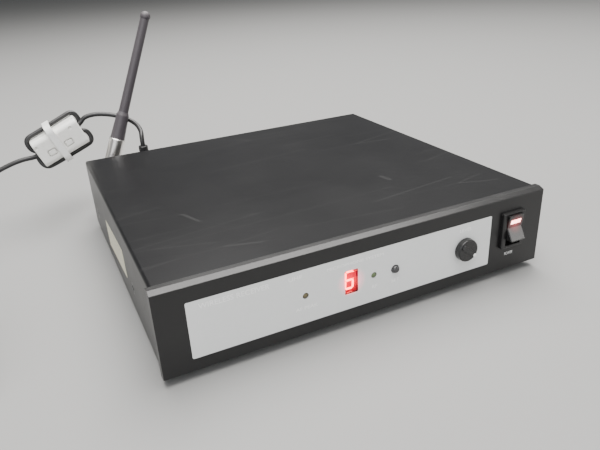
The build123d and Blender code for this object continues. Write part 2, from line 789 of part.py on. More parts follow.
plug_profile = [(0, plug_z), (4.3, plug_z), (4.0, plug_z + 11), (3.3, plug_z + 14)]
rib_levels = [plug_z + 15.2 + 2.0 * step for step in range(3)]
rib_groove = ((3.3, 0), (2.4, 0.1), (2.4, 0.9), (3.2, 1.0))
with BuildPart() as dc_plug:
    disc(power_socket, 5.0, 191.0, 203.6)
    chamfer(dc_plug.edges().filter_by(GeomType.CIRCLE), length=0.8)
    with BuildSketch(Plane(origin=(plug_x, behind(plug_back), 0), x_dir=(1, 0, 0), z_dir=(0, -1, 0))):
        with BuildLine():
            Polyline(
                *plug_profile,
                *[(radius, low + up) for low in rib_levels for radius, up in rib_groove],
                (3.15, plug_top - 0.4),
                (2.8, plug_top),
                (0, plug_top),
                close=True,
            )
        make_face()
    revolve(axis=Axis((plug_x, behind(plug_back), 0), (0, 0, 1)))
keep(dc_plug, "dc_plug")

# The ferrite hangs in the arch of the cord, its length leaning up to the right.
ferrite_centre = (-115.0, 123.0, 54.3)
ferrite_lean = math.radians(22.5)
ferrite_along = (math.cos(ferrite_lean), 0, math.sin(ferrite_lean))
ferrite_length = 34.0
ferrite_radius = 9.8
core_outer, core_bore, core_length = 8.0, 4.6, 28.0
mouth_radius = 5.2


def wound(u, s, n):
    """A point at the ferrite: u along it to the upper right, s across it and up, n to the front."""
    return (
        ferrite_centre[0] + u * math.cos(ferrite_lean) - s * math.sin(ferrite_lean),
        ferrite_centre[1] - n,
        ferrite_centre[2] + u * math.sin(ferrite_lean) + s * math.cos(ferrite_lean),
    )


def across_ferrite(u):
    """A plane square to the ferrite at u along it: local x is to the front, local y is s."""
    return Plane(origin=wound(u, 0, 0), x_dir=(0, -1, 0), z_dir=ferrite_along)


def ferrite_shell(side):
    """Half of the plastic clamp, hollow for the core, with open mouths at both ends."""
    with BuildPart() as piece:
        with BuildSketch(across_ferrite(-ferrite_length / 2)):
            outline = Rectangle(2 * ferrite_radius, 2 * ferrite_radius)
            fillet(outline.vertices().group_by(Axis.Z)[-1], radius=3.5)
            fillet(outline.vertices().group_by(Axis.Z)[0], radius=8.4)
        extrude(amount=ferrite_length)
        ends = piece.faces().sort_by(Axis.X)
        fillet(ends[0].edges() + ends[-1].edges(), radius=0.8)
        with BuildSketch(across_ferrite(-core_length / 2 - 0.1)):
            Circle(core_outer + 0.1)
        extrude(amount=core_length + 0.2, mode=Mode.SUBTRACT)
        with BuildSketch(across_ferrite(-ferrite_length / 2)):
            Circle(mouth_radius)
        extrude(amount=ferrite_length, mode=Mode.SUBTRACT)
        split(bisect_by=Plane(origin=wound(0, 0, 0.05 * side), x_dir=(1, 0, 0), z_dir=(0, -side, 0)))
    return piece


latch_size = (6.2, 4.8)
latch_slot = 0.7
latch_places = (-7.6, 5.2)
pin_holes = ((11.2, 5.8, 9.8), (-15.0, 5.2, 9.8), (14.8, 9.7, 6.0))
front_half = ferrite_shell(1)
with BuildPart() as ferrite_shell_front:
    add(front_half.part)
    for u in latch_places:
        with BuildSketch(
            Plane(
                origin=wound(u, -2.3, ferrite_radius),
                x_dir=ferrite_along,
                z_dir=(0, -1, 0),
            )
        ):
            RectangleRounded(*latch_size, 1.2)
            RectangleRounded(*[size - 2 * latch_slot for size in latch_size], 0.6, mode=Mode.SUBTRACT)
        extrude(amount=-1.3, mode=Mode.SUBTRACT)
    with Locations(*[wound(*hole) for hole in pin_holes]):
        Sphere(1.1, mode=Mode.SUBTRACT)
keep(ferrite_shell_front, "ferrite_shell_front")

ferrite_shell_back = ferrite_shell(-1)
keep(ferrite_shell_back, "ferrite_shell_back")

with BuildPart() as ferrite_core:
    with BuildSketch(across_ferrite(-core_length / 2)):
        Circle(core_outer)
        Circle(core_bore, mode=Mode.SUBTRACT)
        Rectangle(0.1, 4 * core_outer, mode=Mode.SUBTRACT)
    extrude(amount=core_length)
keep(ferrite_core, "ferrite_core")

tie_width = 4.6
tie_place = -1.4
tie_half = ferrite_radius + cord_diameter + 0.8
with BuildPart() as ferrite_tie:
    with BuildSketch(across_ferrite(tie_place - tie_width / 2)):
        RectangleRounded(2 * ferrite_radius + 1.9, 2 * tie_half + 1.5, 5.7)
        RectangleRounded(2 * ferrite_radius + 0.3, 2 * tie_half, 5.0, mode=Mode.SUBTRACT)
    extrude(amount=tie_width)
keep(ferrite_tie, "ferrite_tie")

# The cord's route, chosen by hand: up out of the plug, over behind the antenna and into the ferrite,
# three times through it with a turn along each of its sides, then down to the floor and to the coil.
arch_points = [
    (plug_x, behind(plug_back), plug_top),
    (plug_x, behind(plug_back), 54.0),
    (-62.2, 97.5, 58.2),
    (-63.6, 105.8, 62.0),
    (-70.2, 113.9, 65.6),
    (-79.2, 118.4, 68.2),
    (-88.4, 121.0, 69.2),
    (-96.0, 121.9, 67.8),
]
winding_points = [
    (19.4, 3.2, 1.2),
    (12.0, 1.7, 1.8),
    (0.5, 0.9, 2.1),
    (-10.5, 1.2, 1.9),
    (-19.2, 1.7, 1.4),
    (-19.2, 12.0, -0.4),
    (-9.5, 11.9, -1.4),
    (0.0, 11.9, -2.0),
    (9.5, 12.0, -3.0),
    (19.2, 12.0, -4.6),
    (19.2, 1.2, -2.4),
    (9.0, 0.8, -1.9),
    (-1.5, 1.1, -1.9),
    (-12.0, 0.6, -2.1),
    (-19.2, -0.8, -2.9),
    (-19.2, -12.0, 0.8),
    (-9.5, -12.1, 2.6),
    (0.5, -12.0, 3.0),
    (10.5, -12.1, 2.8),
    (19.5, -12.0, 2.2),
    (19.5, -2.2, 0.0),
    (11.0, -2.3, 0.1),
    (0.5, -2.1, -0.1),
    (-10.5, -2.3, 0.1),
    (-19.2, -1.7, 1.4),
]
leg_points = [
    (-141.4, 121.8, 45.2),
    (-151.8, 122.4, 42.4),
    (-162.8, 122.2, 38.2),
    (-173.6, 121.0, 31.0),
    (-183.6, 118.4, 21.6),
    (-193.0, 113.6, 12.0),
    (-202.0, 106.4, 4.6),
    (-209.8, 96.6, 1.6),
    (-214.6, 84.8, 1.7),
    (-216.4, 72.4, 2.5),
    (-216.4, 61.0, 2.5),
]
coil_bottom = 0.9
coil_entry_radius = coil_radius + turn_pitch
coil_height = (coil_layers - 1) * 3.0 + cord_diameter
tail_points = [
    (coil_centre[0] - coil_entry_radius, coil_centre[1], coil_bottom + coil_height - cord_diameter / 2),
    (-216.4, 48.0, 11.2),
    (-214.6, 36.0, 7.6),
    (-209.4, 25.4, 4.8),
    (-203.4, 15.4, 5.2),
    (-200.2, 4.4, 8.0),
    (-200.0, -6.7, 9.0),
]


def route_radii(points):
    """The radius of each corner: 0.45 of its shorter run over the tangent of half its turn."""
    radii = []
    for before, here, after in zip(points, points[1:], points[2:]):
        first = Vector(*here) - Vector(*before)
        second = Vector(*after) - Vector(*here)
        half_turn = math.radians(first.get_angle(second)) / 2
        radii.append(0.45 * min(first.length, second.length) / math.tan(half_turn))
    return radii


def cord_tube(points, name):
    """A round tube along straight runs joined by tangent arcs."""
    radii = route_radii(points)
    with BuildPart() as tube:
        with BuildLine() as path:
            FilletPolyline(*points, radius=radii)
        start = Vector(*points[1]) - Vector(*points[0])
        with BuildSketch(Plane(origin=points[0], z_dir=start)):
            Circle(cord_diameter / 2)
        sweep()
    length = sum(edge.length for edge in path.edges())
    plain_volume = math.pi * cord_diameter**2 / 4 * length
    print(name, "length", round(length, 1), "volume ratio", round(tube.part.volume / plain_volume, 4))
    print("  radii", [round(radius, 1) for radius in radii])
    keep(tube, name)
    return length


cord_points = arch_points + [wound(*point) for point in winding_points] + leg_points
run_length = cord_tube(cord_points, "dc_cord")
tail_length = cord_tube(tail_points, "cord_tail")
coil_turns = coil_columns * coil_layers
coil_length = coil_turns * 2 * math.pi * coil_radius
print("coil", round(coil_length), "all", round(run_length + tail_length + coil_length))

ring_inner = coil_radius - turn_pitch - cord_diameter / 2 - 0.2
ring_outer = coil_radius + turn_pitch + cord_diameter / 2 + 0.2
with BuildPart() as cord_coil:
    with BuildSketch(Plane.XY.offset(coil_bottom)):
        with Locations(coil_centre):
            Circle(ring_outer)
            Circle(ring_inner, mode=Mode.SUBTRACT)
    extrude(amount=coil_height)
    fillet(cord_coil.edges().filter_by(GeomType.CIRCLE), radius=1.4)
keep(cord_coil, "cord_coil")

band = 0.7
with BuildPart() as coil_tie:
    with BuildSketch(Plane.XZ.offset(-(coil_centre[1] - 2.5))):
        with Locations((coil_centre[0] + coil_radius, coil_bottom + coil_height / 2)):
            RectangleRounded(ring_outer - ring_inner + 2 * band + 0.7, coil_height + 2 * band + 0.2, 1.8)
            RectangleRounded(ring_outer - ring_inner + 0.7, coil_height + 0.2, 1.1, mode=Mode.SUBTRACT)
    extrude(amount=-5.0)
keep(coil_tie, "coil_tie")

adapter_size = (46.0, 64.0, 28.0)
adapter_front = -19.0
adapter_x = -200.0
grommet_length = 12.0
cord_level = 9.0
with BuildPart() as adapter_case:
    with Locations((adapter_x, adapter_front - adapter_size[1] / 2, adapter_size[2] / 2)):
        Box(*adapter_size)
    fillet(adapter_case.edges(), radius=3.0)
    with BuildSketch(upright(adapter_front - face_y)):
        with Locations((adapter_x, cord_level)):
            Circle(3.2)
    extrude(amount=-grommet_length, taper=3)
keep(adapter_case, "adapter_case")

with BuildPart() as adapter_prongs:
    with Locations(*[(adapter_x + x, adapter_front - 40.0, adapter_size[2] + 8.5) for x in (-6.35, 6.35)]):
        Box(1.5, 6.3, 17.0)
    chamfer(adapter_prongs.edges().group_by(Axis.Z)[-1], length=0.5)
keep(adapter_prongs, "adapter_prongs")
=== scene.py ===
import math

import bmesh
import bpy
from mathutils import Matrix, Vector


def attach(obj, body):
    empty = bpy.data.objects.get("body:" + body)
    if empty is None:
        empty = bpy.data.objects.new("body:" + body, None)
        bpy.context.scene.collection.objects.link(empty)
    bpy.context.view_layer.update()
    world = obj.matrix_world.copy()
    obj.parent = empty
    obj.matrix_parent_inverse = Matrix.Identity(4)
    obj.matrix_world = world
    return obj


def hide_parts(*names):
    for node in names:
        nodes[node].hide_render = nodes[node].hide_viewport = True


# A half-rack wireless microphone receiver with its rear whip antenna and DC lead.
# Metres throughout; the receiver faces -Y and stands on Z = 0.

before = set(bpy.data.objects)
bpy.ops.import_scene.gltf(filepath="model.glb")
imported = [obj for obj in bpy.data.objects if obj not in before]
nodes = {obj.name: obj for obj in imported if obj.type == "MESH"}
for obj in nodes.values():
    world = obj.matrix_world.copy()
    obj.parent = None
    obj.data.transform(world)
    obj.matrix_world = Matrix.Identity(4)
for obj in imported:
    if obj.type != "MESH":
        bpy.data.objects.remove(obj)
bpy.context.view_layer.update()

# ------------------------------------------------------------------ camera
# A hand-held view from the front left, a little above, looking down on the top cover and
# tilted by a few degrees.

camera_data = bpy.data.cameras.new("camera")
camera_data.lens = 34.94
camera_data.sensor_width = 36.0
camera = bpy.data.objects.new("camera", camera_data)
bpy.context.scene.collection.objects.link(camera)
looking = Vector((0.3782, 0.82337, -0.42312))
level_turn = looking.to_track_quat("-Z", "Y").to_matrix()
camera.matrix_world = (
    Matrix.Translation((-0.13154, -0.31098, 0.16538))
    @ level_turn.to_4x4()
    @ Matrix.Rotation(math.radians(-3.16), 4, "Z")
)
bpy.context.scene.camera = camera

# ------------------------------------------------------------------ DC cord
# A 3.2 mm two-core cord in a soft black PVC jacket, about 1.8 m long. It rises out of the DC
# plug, goes three times through the clamp-on ferrite, falls to the ground and ends in a tied
# coil beside the adapter. The jacket is extruded: smooth, slightly waxy, with faint flow lines.


def joined(group, start, end):
    """Wire one node's output to another's input inside a material or a group."""
    group.links.new(start, end)


def effect_group(name, takes, gives):
    """An empty shader node group with named inputs and outputs."""
    group = bpy.data.node_groups.new(name, "ShaderNodeTree")
    for label, kind, value in takes:
        socket = group.interface.new_socket(name=label, in_out="INPUT", socket_type=kind)
        socket.default_value = value
    for label, kind in gives:
        group.interface.new_socket(name=label, in_out="OUTPUT", socket_type=kind)
    return group, group.nodes.new("NodeGroupInput"), group.nodes.new("NodeGroupOutput")


def arithmetic(group, operation, *values, clamp=False):
    """A Math node; each value is a number or another node's output."""
    node = group.nodes.new("ShaderNodeMath")
    node.operation = operation
    node.use_clamp = clamp
    for socket, value in zip(node.inputs, values):
        if isinstance(value, (int, float)):
            socket.default_value = value
        else:
            joined(group, value, socket)
    return node.outputs[0]


def product(group, first, *others):
    """Values multiplied together, from the left."""
    for other in others:
        first = arithmetic(group, "MULTIPLY", first, other)
    return first


def total(group, first, *others, clamp=False):
    """Values added up from the left; clamp keeps the whole sum between 0 and 1."""
    for other in others:
        first = arithmetic(group, "ADD", first, other, clamp=clamp and other is others[-1])
    return first


def swing(group, value, amount):
    """How far a value between 0 and 1 stands from its middle, times an amount."""
    return arithmetic(group, "MULTIPLY", arithmetic(group, "SUBTRACT", value, 0.5), amount)


def excess(group, value, threshold, gain, clamp=False):
    """How far a value rises above a threshold, times a gain, and nothing below it."""
    above = arithmetic(group, "SUBTRACT", value, threshold, clamp=True)
    return arithmetic(group, "MULTIPLY", above, gain, clamp=clamp)


def tinted(group, factor, first, second):
    """A colour Mix node; colours are triples or other nodes' outputs."""
    node = group.nodes.new("ShaderNodeMix")
    node.data_type = "RGBA"
    # The node has sockets for every data type; these are its factor and its two colours.
    sockets = (node.inputs[0], node.inputs[6], node.inputs[7])
    for socket, value in zip(sockets, (factor, first, second)):
        if isinstance(value, (int, float)):
            socket.default_value = value
        elif isinstance(value, tuple):
            socket.default_value = (*value, 1.0)
        else:
            joined(group, value, socket)
    return node.outputs[2]


def clouds(group, where, scale, detail=2.0, rough=0.5):
    """A noise value over the surface; scale is in cycles per metre, or another node's output."""
    node = group.nodes.new("ShaderNodeTexNoise")
    node.inputs["Detail"].default_value = detail
    node.inputs["Roughness"].default_value = rough
    if isinstance(scale, (int, float)):
        node.inputs["Scale"].default_value = scale
    else:
        joined(group, scale, node.inputs["Scale"])
    joined(group, where, node.inputs["Vector"])
    return node.outputs["Fac"]


def surface_place(group):
    """The object coordinates that a group's patterns are laid out in."""
    return group.nodes.new("ShaderNodeTexCoord").outputs["Object"]


def textured_normal(group, given, out, height):
    """Round the edges a little, add the relief of a height, and hand on the normal."""
    soft_edge = group.nodes.new("ShaderNodeBevel")
    soft_edge.samples = 4
    joined(group, given.outputs["Edge Radius"], soft_edge.inputs["Radius"])
    relief = group.nodes.new("ShaderNodeBump")
    relief.inputs["Strength"].default_value = 1.0
    relief.inputs["Distance"].default_value = 1.0
    joined(group, height, relief.inputs["Height"])
    joined(group, soft_edge.outputs[0], relief.inputs["Normal"])
    joined(group, relief.outputs[0], out.inputs["Normal"])


surface_outputs = [
    ("Colour", "NodeSocketColor"),
    ("Roughness", "NodeSocketFloat"),
    ("Normal", "NodeSocketVector"),
]

# The look of moulded, painted and printed surfaces: fine grain, faint cloudiness, a little
# dust on what faces up, and edges that are softly rounded instead of knife sharp.
moulded, given, out = effect_group(
    "moulded surface",
    [
        ("Colour", "NodeSocketColor", (0.5, 0.5, 0.5, 1)),
        ("Roughness", "NodeSocketFloat", 0.5),
        ("Grain Size", "NodeSocketFloat", 0.0004),
        ("Grain Depth", "NodeSocketFloat", 0.00001),
        ("Edge Radius", "NodeSocketFloat", 0.0003),
        ("Dust", "NodeSocketFloat", 0.05),
        ("Cloudiness", "NodeSocketFloat", 0.15),
    ],
    surface_outputs,
)
place = surface_place(moulded)
facing = moulded.nodes.new("ShaderNodeSeparateXYZ")
joined(moulded, moulded.nodes.new("ShaderNodeNewGeometry").outputs["Normal"], facing.inputs[0])
grain_scale = arithmetic(moulded, "DIVIDE", 0.5, given.outputs["Grain Size"])
grain = clouds(moulded, place, grain_scale, 3.0, 0.6)
broad = clouds(moulded, place, 38.0, 4.0, 0.55)
mottle = clouds(moulded, place, 420.0, 2.0)
specks = clouds(moulded, place, 2600.0, 1.0)
speck_mask = excess(moulded, specks, 0.66, 7.0, clamp=True)
upward = arithmetic(moulded, "MULTIPLY_ADD", facing.outputs["Z"], 0.75, 0.3, clamp=True)
dust_film = product(moulded, broad, upward, given.outputs["Dust"])
dust_spots = product(moulded, speck_mask, upward, given.outputs["Dust"], 4.0)
dust = total(moulded, dust_film, dust_spots, clamp=True)
cloud_swing = swing(moulded, broad, given.outputs["Cloudiness"])
unevenness = total(moulded, cloud_swing, swing(moulded, mottle, given.outputs["Cloudiness"]))
shaded = moulded.nodes.new("ShaderNodeVectorMath")
shaded.operation = "SCALE"
joined(moulded, given.outputs["Colour"], shaded.inputs[0])
joined(moulded, total(moulded, unevenness, 1.0), shaded.inputs["Scale"])
dust_colour = (0.32, 0.31, 0.29)
joined(moulded, tinted(moulded, dust, shaded.outputs[0], dust_colour), out.inputs["Colour"])
rough_swing = product(moulded, unevenness, 0.6)
rougher = total(moulded, given.outputs["Roughness"], rough_swing, dust, clamp=True)
joined(moulded, rougher, out.inputs["Roughness"])
textured_normal(moulded, given, out, product(moulded, grain, given.outputs["Grain Depth"]))


def finish(name, colour, roughness, group=moulded, metallic=0.0, coat=0.0, **details):
    """A material: one of the surface groups feeding a Principled shader."""
    material = bpy.data.materials.new(name)
    material.use_nodes = True
    tree = material.node_tree
    surface = tree.nodes["Principled BSDF"]
    effect = tree.nodes.new("ShaderNodeGroup")
    effect.node_tree = group
    effect.inputs["Colour"].default_value = (*colour, 1.0)
    effect.inputs["Roughness"].default_value = roughness
    for label, value in details.items():
        effect.inputs[label.replace("_", " ")].default_value = value
    for label, _ in surface_outputs:
        joined(tree, effect.outputs[label], surface.inputs[label.replace("Colour", "Base Color")])
    surface.inputs["Metallic"].default_value = metallic
    surface.inputs["Coat Weight"].default_value = coat
    surface.inputs["Coat Roughness"].default_value = 0.1
    material.diffuse_color = (*colour, 1.0)
    return material


def wear(material, *names):
    """Give CAD pieces their finish."""
    for name in names:
        slots = nodes[name].data.materials
        slots.clear()
        slots.append(material)


cord_jacket = finish(
    "black cord jacket",
    (0.010, 0.010, 0.011),
    0.33,
    Grain_Size=0.0006,
    Grain_Depth=0.000012,
    Dust=0.1,
)

face = -0.10695
cord_radius = 0.0016
plug_x, plug_y = -0.0635, face + 0.1994
arch = [
    (plug_x, plug_y, 0.0488),
    (plug_x, plug_y, 0.0540),
    (-0.0622, 0.0975, 0.0582),
    (-0.0636, 0.1058, 0.0620),
    (-0.0702, 0.1139, 0.0656),
    (-0.0792, 0.1184, 0.0682),
    (-0.0884, 0.1210, 0.0692),
    (-0.0960, 0.1219, 0.0678),
]
# Inside and around the ferrite. Each point says how far it lies along the ferrite to the upper
# right, across it and up, and to the front.
winding = [
    (0.0194, 0.0032, 0.0012),
    (0.0120, 0.0017, 0.0018),
    (0.0005, 0.0009, 0.0021),
    (-0.0105, 0.0012, 0.0019),
    (-0.0192, 0.0017, 0.0014),
    (-0.0192, 0.0120, -0.0004),
    (-0.0095, 0.0119, -0.0014),
    (0.0000, 0.0119, -0.0020),
    (0.0095, 0.0120, -0.0030),
    (0.0192, 0.0120, -0.0046),
    (0.0192, 0.0012, -0.0024),
    (0.0090, 0.0008, -0.0019),
    (-0.0015, 0.0011, -0.0019),
    (-0.0120, 0.0006, -0.0021),
    (-0.0192, -0.0008, -0.0029),
    (-0.0192, -0.0120, 0.0008),
    (-0.0095, -0.0121, 0.0026),
    (0.0005, -0.0120, 0.0030),
    (0.0105, -0.0121, 0.0028),
    (0.0195, -0.0120, 0.0022),
    (0.0195, -0.0022, 0.0000),
    (0.0110, -0.0023, 0.0001),
    (0.0005, -0.0021, -0.0001),
    (-0.0105, -0.0023, 0.0001),
    (-0.0192, -0.0017, 0.0014),
]
leg = [
    (-0.1414, 0.1218, 0.0452),
    (-0.1518, 0.1224, 0.0424),
    (-0.1628, 0.1222, 0.0382),
    (-0.1736, 0.1210, 0.0310),
    (-0.1836, 0.1184, 0.0216),
    (-0.1930, 0.1136, 0.0120),
    (-0.2020, 0.1064, 0.0046),
    (-0.2098, 0.0966, 0.0016),
    (-0.2146, 0.0848, 0.0017),
    (-0.2164, 0.0724, 0.0025),
]
tail = [
    (-0.2164, 0.0480, 0.0112),
    (-0.2146, 0.0360, 0.0076),
    (-0.2094, 0.0254, 0.0048),
    (-0.2034, 0.0154, 0.0052),
    (-0.2002, 0.0044, 0.0080),
    (-0.2000, -0.0067, 0.0090),
]
ferrite_centre = Vector((-0.1150, 0.1230, 0.0543))
ferrite_lean = math.radians(22.5)
ferrite_along = Vector((math.cos(ferrite_lean), 0, math.sin(ferrite_lean)))
ferrite_across = Vector((-math.sin(ferrite_lean), 0, math.cos(ferrite_lean)))
ferrite_front = Vector((0, -1, 0))
wound = [
    ferrite_centre + ferrite_along * u + ferrite_across * s + ferrite_front * n for u, s, n in winding
]

# The put-away length: twelve turns, three side by side and four deep, laid by hand, so that each
# turn wanders a little. It starts at the bottom outside and leaves at the top outside.
coil_centre = Vector((-0.1960, 0.0610, 0.0))
coil_radii = (0.02045, 0.0172, 0.01395)
coil_floor = 0.0025
layer_height = 0.0030
layers = 4
turn_points = 14
change_starts = 0.7
wander = 0.006
coil = []
turn = 0
for layer in range(layers):
    order = coil_radii if layer % 2 == 0 else coil_radii[::-1]
    for lap, radius in enumerate(order):
        last_lap = lap + 1 == len(order)
        following = radius if last_lap else order[lap + 1]
        rise = layer_height if last_lap and layer + 1 < layers else 0.0
        for step in range(turn_points):
            share = step / turn_points
            angle = math.pi + share * 2 * math.pi
            late = max(0.0, (share - change_starts) / (1 - change_starts))
            eased = late * late * (3 - 2 * late)
            here = radius + (following - radius) * eased
            here *= 1.0 + wander * math.sin(3.1 * turn + 2 * angle)
            height = coil_floor + layer * layer_height + rise * eased
            coil.append(coil_centre + Vector((math.cos(angle) * here, math.sin(angle) * here, height)))
        turn += 1
coil.append(coil_centre + Vector((-coil_radii[0], 0, coil_floor + (layers - 1) * layer_height)))

cord_route = [*arch, *wound, *leg, *coil, *tail]
cord_curve = bpy.data.curves.new("dc_cord_jacket", "CURVE")
cord_curve.dimensions = "3D"
cord_curve.bevel_depth = cord_radius
cord_curve.bevel_resolution = 5
cord_curve.use_fill_caps = True
cord_curve.resolution_u = 6
route = cord_curve.splines.new("NURBS")
route.points.add(len(cord_route) - 1)
for point, here in zip(route.points, cord_route):
    point.co = (*here, 1.0)
route.order_u = 3
route.use_endpoint_u = True
cord_curve.materials.append(cord_jacket)
cord = bpy.data.objects.new("dc_cord_jacket", cord_curve)
bpy.context.scene.collection.objects.link(cord)
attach(cord, "case")
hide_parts("dc_cord", "cord_coil", "cord_tail")

# ------------------------------------------------------------------ coil tie
# A hook-and-loop strap round the put-away turns: woven black nylon, dull and fuzzy.

strap_cloth = finish(
    "woven black strap",
    (0.018, 0.018, 0.02),
    0.85,
    Grain_Size=0.0005,
    Grain_Depth=0.00008,
    Dust=0.3,
    Cloudiness=0.5,
)
wear(strap_cloth, "coil_tie")

# ------------------------------------------------------------------ DC plug
# A right-angle coaxial plug. Its head and ribbed strain relief are one moulding of black PVC
# over the plated barrel.

plug_moulding = finish(
    "black plug moulding", (0.015, 0.015, 0.016), 0.42, Grain_Size=0.0005, Grain_Depth=0.00002
)
wear(plug_moulding, "dc_plug")

# The look of plated and machined metal: fine turning lines, a slightly uneven tone and roughness.
plated, given, out = effect_group(
    "plated metal",
    [
        ("Colour", "NodeSocketColor", (0.7, 0.7, 0.7, 1)),
        ("Roughness", "NodeSocketFloat", 0.2),
        ("Edge Radius", "NodeSocketFloat", 0.0003),
        ("Tarnish", "NodeSocketFloat", 0.2),
        ("Line Depth", "NodeSocketFloat", 0.000004),
    ],
    surface_outputs,
)
place = surface_place(plated)
stretch = plated.nodes.new("ShaderNodeMapping")
stretch.inputs["Scale"].default_value = (1.0, 9.0, 9.0)
joined(plated, place, stretch.inputs["Vector"])
lines = clouds(plated, stretch.outputs[0], 700.0, 2.0)
stains = clouds(plated, place, 160.0, 4.0, 0.6)
spread = excess(plated, stains, 0.45, given.outputs["Tarnish"])
dulled = arithmetic(plated, "MULTIPLY", spread, 2.5, clamp=True)
tarnish_colour = (0.30, 0.27, 0.22)
joined(plated, tinted(plated, dulled, given.outputs["Colour"], tarnish_colour), out.inputs["Colour"])
line_swing = swing(plated, lines, 0.12)
rougher = total(plated, given.outputs["Roughness"], line_swing, spread, clamp=True)
joined(plated, rougher, out.inputs["Roughness"])
textured_normal(plated, given, out, product(plated, lines, given.outputs["Line Depth"]))

nickel = finish("nickel plate", (0.95, 0.92, 0.89), 0.30, plated, metallic=1.0, Tarnish=0.12)
wear(nickel, "dc_plug_barrel")

# ------------------------------------------------------------------ clamp-on ferrite
# Two ivory nylon half-shells, hinged on one side and latched on the other, hold two half-rings of
# sintered ferrite. A white nylon tie keeps the cord's turns against the shells.

ivory = finish(
    "ivory nylon",
    (0.93, 0.92, 0.88),
    0.28,
    coat=0.3,
    Grain_Size=0.001,
    Grain_Depth=0.000012,
    Edge_Radius=0.0006,
    Dust=0.12,
)
wear(ivory, "ferrite_shell_front", "ferrite_shell_back")
sintered = finish(
    "sintered ferrite", (0.03, 0.03, 0.032), 0.55, Grain_Size=0.0004, Grain_Depth=0.00003
)
wear(sintered, "ferrite_core")
white_nylon = finish(
    "white nylon tie", (0.90, 0.90, 0.88), 0.35, Grain_Size=0.0007, Grain_Depth=0.00002
)
wear(white_nylon, "ferrite_tie")

# ------------------------------------------------------------------ front panel
# A 6 mm aluminium plate, its front edges bevelled, then bead-brushed and anodised black. The long
# top edge catches the light along its whole length.

anodised = finish(
    "black anodised aluminium",
    (0.005, 0.005, 0.0055),
    0.34,
    Grain_Size=0.0003,
    Grain_Depth=0.000002,
    Edge_Radius=0.0004,
    Dust=0.05,
)
anodised.node_tree.nodes["Principled BSDF"].inputs["Specular IOR Level"].default_value = 0.5
wear(anodised, "front_panel")

# ------------------------------------------------------------------ top cover
# Folded steel sheet, top and two sides in one piece, painted satin black with a very fine grain.
# Handling has left long shallow hairline scratches on the top.

painted, given, out = effect_group(
    "painted sheet",
    [
        ("Colour", "NodeSocketColor", (0.02, 0.02, 0.02, 1)),
        ("Roughness", "NodeSocketFloat", 0.35),
        ("Scratches", "NodeSocketFloat", 0.5),
        ("Edge Radius", "NodeSocketFloat", 0.0004),
    ],
    surface_outputs,
)
place = surface_place(painted)
peel = clouds(painted, place, 900.0, 3.0, 0.6)
broad = clouds(painted, place, 17.0, 4.0, 0.6)
specks = clouds(painted, place, 1500.0, 1.0)
pale_specks = excess(painted, specks, 0.7, 5.0, clamp=True)
hairline_share = 0.006
hairlines = None
for turned, size in ((18.0, 55.0), (-33.0, 42.0), (71.0, 48.0)):
    bent = painted.nodes.new("ShaderNodeMapping")
    bent.inputs["Rotation"].default_value = (0, 0, math.radians(turned))
    bent.inputs["Scale"].default_value = (0.12, 1.0, 0.3)
    joined(painted, place, bent.inputs["Vector"])
    streak = painted.nodes.new("ShaderNodeTexVoronoi")
    streak.feature = "DISTANCE_TO_EDGE"
    streak.inputs["Scale"].default_value = size
    joined(painted, bent.outputs[0], streak.inputs["Vector"])
    thin = arithmetic(painted, "LESS_THAN", streak.outputs["Distance"], hairline_share)
    patches = clouds(painted, bent.outputs[0], size * 0.8, 1.0)
    line = product(painted, thin, arithmetic(painted, "GREATER_THAN", patches, 0.62))
    hairlines = line if hairlines is None else arithmetic(painted, "MAXIMUM", hairlines, line)
marks = product(painted, hairlines, given.outputs["Scratches"], 0.22)
pale = total(painted, marks, product(painted, pale_specks, 0.10))
bared_colour = (0.35, 0.35, 0.34)
joined(painted, tinted(painted, pale, given.outputs["Colour"], bared_colour), out.inputs["Colour"])
rougher = total(painted, given.outputs["Roughness"], swing(painted, broad, 0.16), pale, clamp=True)
joined(painted, rougher, out.inputs["Roughness"])
textured_normal(painted, given, out, product(painted, peel, 0.000018))

satin_paint = finish("satin black paint", (0.006, 0.006, 0.0065), 0.33, painted, Scratches=0.12)
satin_paint.node_tree.nodes["Principled BSDF"].inputs["Specular IOR Level"].default_value = 0.27
wear(satin_paint, "top_cover")

# ------------------------------------------------------------------ chassis, rear panel and fixings
# The floor with its side flanges is folded zinc-plated steel; the rear panel is painted like the
# cover. Black countersunk screws hold the cover, plated pan-head screws the two panels.

zinc = finish("zinc plate", (0.52, 0.53, 0.54), 0.32, plated, metallic=1.0, Tarnish=0.35)
wear(zinc, "bottom_chassis", "panel_screws", "board_screws", "pot_shaft")
wear(satin_paint, "rear_panel")
blackened = finish(
    "blackened screw steel", (0.02, 0.02, 0.021), 0.3, plated, metallic=0.8, Tarnish=0.1
)
wear(blackened, "cover_screws")

# ------------------------------------------------------------------ rubber feet
# Four black moulded rubber buttons pressed into the floor, slightly chalky.

foot_rubber = finish(
    "foot rubber", (0.02, 0.02, 0.02), 0.75, Grain_Size=0.0008, Grain_Depth=0.00004, Dust=0.3
)
wear(foot_rubber, "rubber_feet")

# ------------------------------------------------------------------ side label
# A blank strip of cream paper, stuck on a little crooked, its surface slightly yellowed.

label_paper = finish(
    "cream label paper",
    (0.78, 0.75, 0.58),
    0.6,
    Grain_Size=0.0004,
    Grain_Depth=0.00001,
    Dust=0.15,
    Cloudiness=0.3,
)
wear(label_paper, "side_label")

# ------------------------------------------------------------------ legend plate
# A silver-grey screen-printed film in a shallow recess of the panel. The legends are generic
# words in white ink, hardly lighter than the film.

